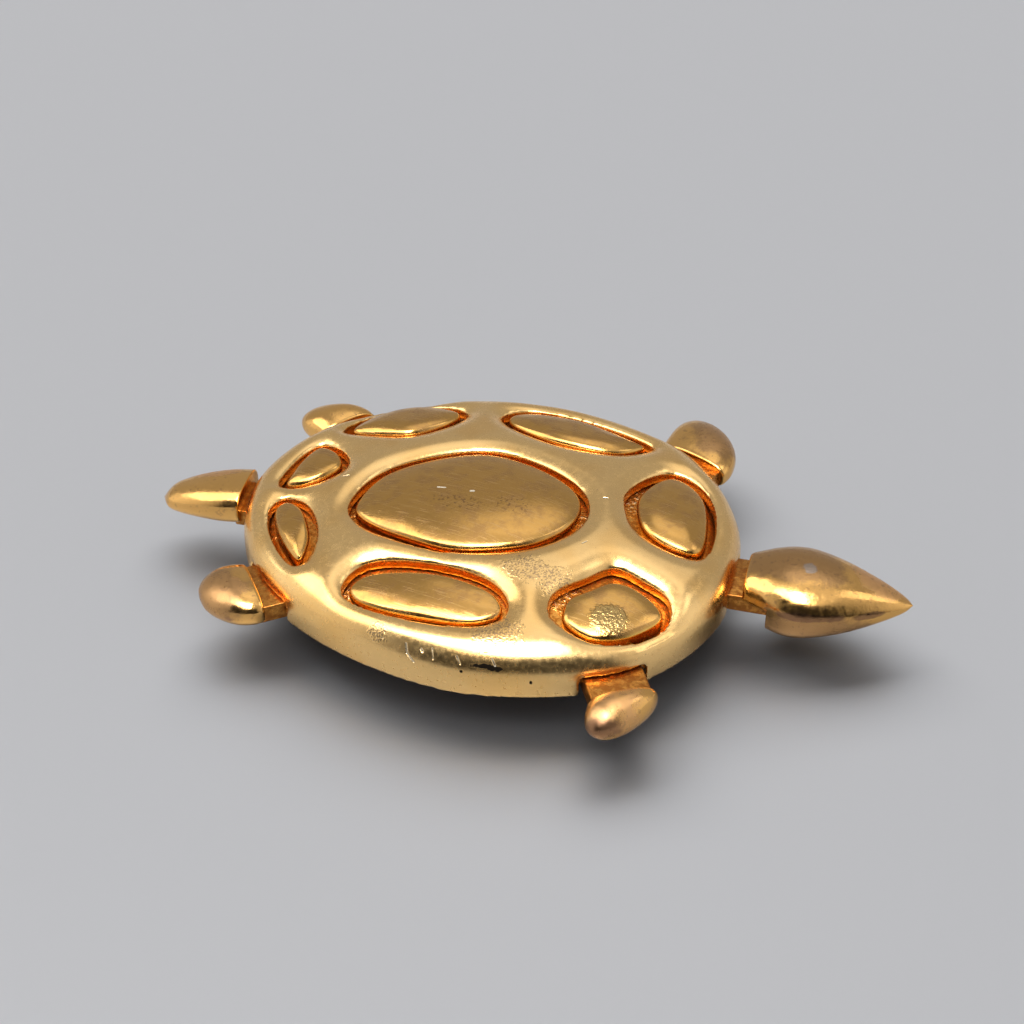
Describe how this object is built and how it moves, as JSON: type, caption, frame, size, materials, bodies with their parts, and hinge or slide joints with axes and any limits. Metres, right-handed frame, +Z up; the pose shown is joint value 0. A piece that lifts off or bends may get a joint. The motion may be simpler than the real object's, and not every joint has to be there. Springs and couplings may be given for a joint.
{
  "type": "turtle brooch",
  "caption": "Cast turtle brooch: an openwork domed shell over one polished casting of scutes, head, legs and tail, on a soldered pin back.",
  "frame": {"origin": "middle of the outline in plan, on the surface that the pin back's two blocks rest on", "axes": "+X from the tail to the head, +Y to the turtle's left side, +Z up out of the shell"},
  "size_m": [0.0562, 0.0354, 0.0088],
  "materials": {
    "satin_gold": "satin gold tone, lightly pitted, with a few fine scratches",
    "polished_gold": "polished gold tone, reddish where it is worn, with a rough cast floor between the scutes and the shell",
    "pin_metal": "plain rolled and drawn gold-tone metal"
  },
  "bodies": {
    "root": {"shell": "satin_gold", "casting": "polished_gold", "pin_back": "pin_metal"}
  },
  "joints": []
}
